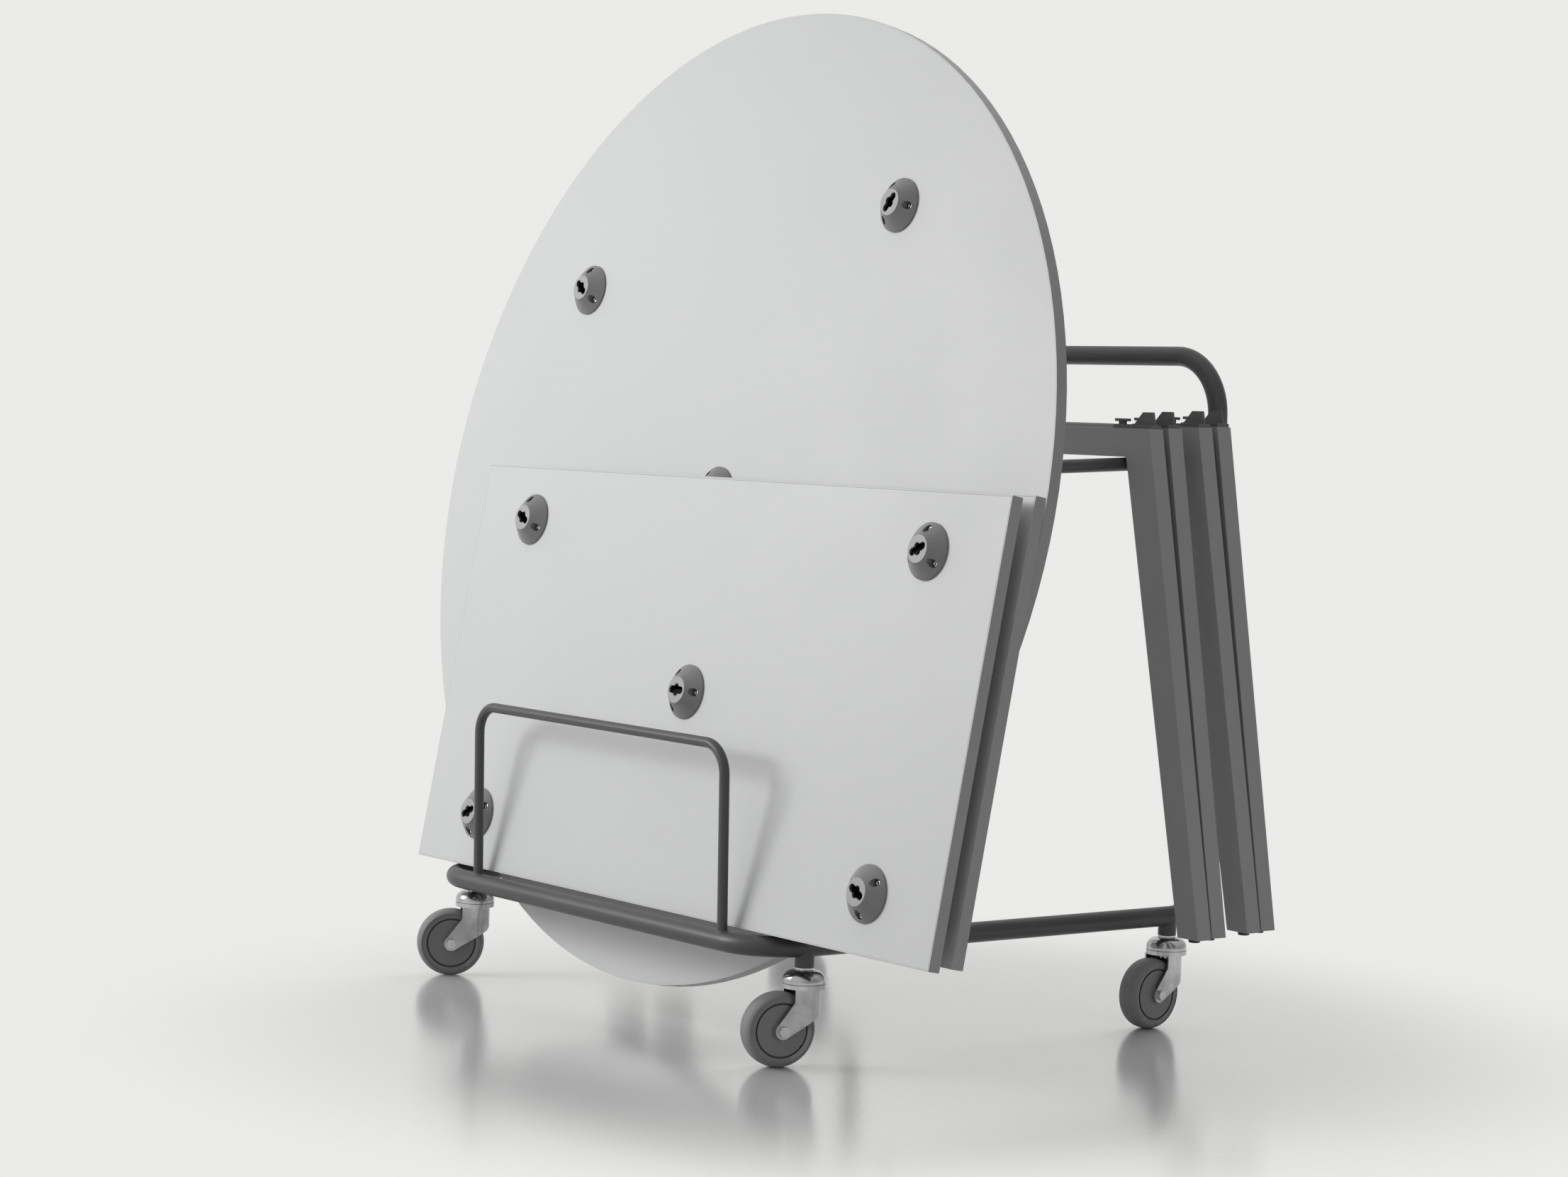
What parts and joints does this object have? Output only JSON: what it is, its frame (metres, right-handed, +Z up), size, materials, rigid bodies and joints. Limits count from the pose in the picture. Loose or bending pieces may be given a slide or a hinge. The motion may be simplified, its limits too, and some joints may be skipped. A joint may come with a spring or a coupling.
{
  "type": "table transport trolley",
  "caption": "Castor trolley of bent tube that carries a knocked-down table set: a round top and rectangular tops lean on it, and leg frames hang from its rails.",
  "frame": {"origin": "on the floor, under the middle of the loaded trolley's box", "axes": "+X along the front bar and the tops' width, +Y from the front hoop to the push handle, +Z up"},
  "size_m": [1.5395, 0.837, 1.4297],
  "materials": {
    "trolley_coat": "fine powder coat, matt anthracite",
    "castor_zinc": "bright zinc plate",
    "castor_steel": "bright zinc plate",
    "wheel_core": "moulded, matt grey",
    "tyre": "matt grey rubber",
    "board": "laminated board, pale grey",
    "edging": "matt mid-grey edge trim",
    "socket": "moulded, matt grey",
    "screw": "bright zinc plate",
    "frame_coat": "matt grey powder coat",
    "glide": "matt black",
    "bracket": "satin dark grey coat"
  },
  "bodies": {
    "trolley": {"frame_tube_left": "trolley_coat", "frame_tube_right": "trolley_coat", "front_hoop": "trolley_coat", "rail_left": "trolley_coat", "rail_right": "trolley_coat", "back_bar": "trolley_coat", "castor_collars": "trolley_coat", "castor_stems": "castor_steel", "castor_lock_nuts": "castor_steel", "castor_caps": "castor_zinc", "bearing_balls_front_left": "castor_steel", "bearing_balls_front_right": "castor_steel", "bearing_balls_rear_left": "castor_steel", "bearing_balls_rear_right": "castor_steel"},
    "fork_front_left": {"fork_front_left": "castor_zinc", "axle_bolt_front_left": "castor_steel"},
    "wheel_front_left": {"wheel_core_front_left": "wheel_core", "tyre_front_left": "tyre"},
    "fork_front_right": {"fork_front_right": "castor_zinc", "axle_bolt_front_right": "castor_steel"},
    "wheel_front_right": {"wheel_core_front_right": "wheel_core", "tyre_front_right": "tyre"},
    "fork_rear_left": {"fork_rear_left": "castor_zinc", "axle_bolt_rear_left": "castor_steel"},
    "wheel_rear_left": {"wheel_core_rear_left": "wheel_core", "tyre_rear_left": "tyre"},
    "fork_rear_right": {"fork_rear_right": "castor_zinc", "axle_bolt_rear_right": "castor_steel"},
    "wheel_rear_right": {"wheel_core_rear_right": "wheel_core", "tyre_rear_right": "tyre"},
    "front_top": {"front_top_board": "board", "front_top_edging": "edging", "front_top_sockets": "socket", "front_top_screws": "screw"},
    "middle_top": {"middle_top_board": "board", "middle_top_edging": "edging", "middle_top_sockets": "socket", "middle_top_screws": "screw"},
    "round_top": {"round_top_board": "board", "round_top_edging": "edging", "round_top_sockets": "socket", "round_top_screws": "screw"},
    "leg_frame_1": {"leg_frame_1": "frame_coat", "glides_1": "glide", "brackets_1": "bracket", "studs_1": "bracket"},
    "leg_frame_2": {"leg_frame_2": "frame_coat", "glides_2": "glide", "brackets_2": "bracket", "studs_2": "bracket"},
    "leg_frame_3": {"leg_frame_3": "frame_coat", "glides_3": "glide", "brackets_3": "bracket", "studs_3": "bracket"},
    "leg_frame_4": {"leg_frame_4": "frame_coat", "glides_4": "glide", "brackets_4": "bracket", "studs_4": "bracket"}
  },
  "joints": [
    {"name": "castor_swivel_front_left", "type": "hinge", "parent": "trolley", "child": "fork_front_left", "pos_m": [-0.35425, -0.3335, 0.11], "axis": [0, 0, 1], "continuous": true},
    {"name": "wheel_spin_front_left", "type": "hinge", "parent": "fork_front_left", "child": "wheel_front_left", "pos_m": [-0.37068, -0.3644, 0.05], "axis": [0.8829, -0.4695, 0], "continuous": true},
    {"name": "castor_swivel_front_right", "type": "hinge", "parent": "trolley", "child": "fork_front_right", "pos_m": [0.45175, -0.3335, 0.11], "axis": [0, 0, 1], "continuous": true},
    {"name": "wheel_spin_front_right", "type": "hinge", "parent": "fork_front_right", "child": "wheel_front_right", "pos_m": [0.4421, -0.36714, 0.05], "axis": [0.9613, -0.2756, 0], "continuous": true},
    {"name": "castor_swivel_rear_left", "type": "hinge", "parent": "trolley", "child": "fork_rear_left", "pos_m": [-0.35425, 0.3245, 0.11], "axis": [0, 0, 1], "continuous": true},
    {"name": "wheel_spin_rear_left", "type": "hinge", "parent": "fork_rear_left", "child": "wheel_rear_left", "pos_m": [-0.35973, 0.28993, 0.05], "axis": [0.9877, -0.1564, 0], "continuous": true},
    {"name": "castor_swivel_rear_right", "type": "hinge", "parent": "trolley", "child": "fork_rear_right", "pos_m": [0.45175, 0.3245, 0.11], "axis": [0, 0, 1], "continuous": true},
    {"name": "wheel_spin_rear_right", "type": "hinge", "parent": "fork_rear_right", "child": "wheel_rear_right", "pos_m": [0.4548, 0.28963, 0.05], "axis": [0.9962, 0.0872, 0], "continuous": true},
    {"name": "front_top_lift", "type": "slide", "parent": "trolley", "child": "front_top", "axis": [0, 0.1822, 0.9833], "range_m": [0, 0.3]},
    {"name": "middle_top_lift", "type": "slide", "parent": "trolley", "child": "middle_top", "axis": [0, 0.1822, 0.9833], "range_m": [0, 0.3]},
    {"name": "round_top_lift", "type": "slide", "parent": "trolley", "child": "round_top", "axis": [0, 0.1822, 0.9833], "range_m": [0, 0.3]},
    {"name": "leg_frame_1_lift", "type": "slide", "parent": "trolley", "child": "leg_frame_1", "axis": [0, 0, 1], "range_m": [0, 0.3]},
    {"name": "leg_frame_2_lift", "type": "slide", "parent": "trolley", "child": "leg_frame_2", "axis": [0, 0, 1], "range_m": [0, 0.3]},
    {"name": "leg_frame_3_lift", "type": "slide", "parent": "trolley", "child": "leg_frame_3", "axis": [0, 0, 1], "range_m": [0, 0.3]},
    {"name": "leg_frame_4_lift", "type": "slide", "parent": "trolley", "child": "leg_frame_4", "axis": [0, 0, 1], "range_m": [0, 0.3]}
  ]
}
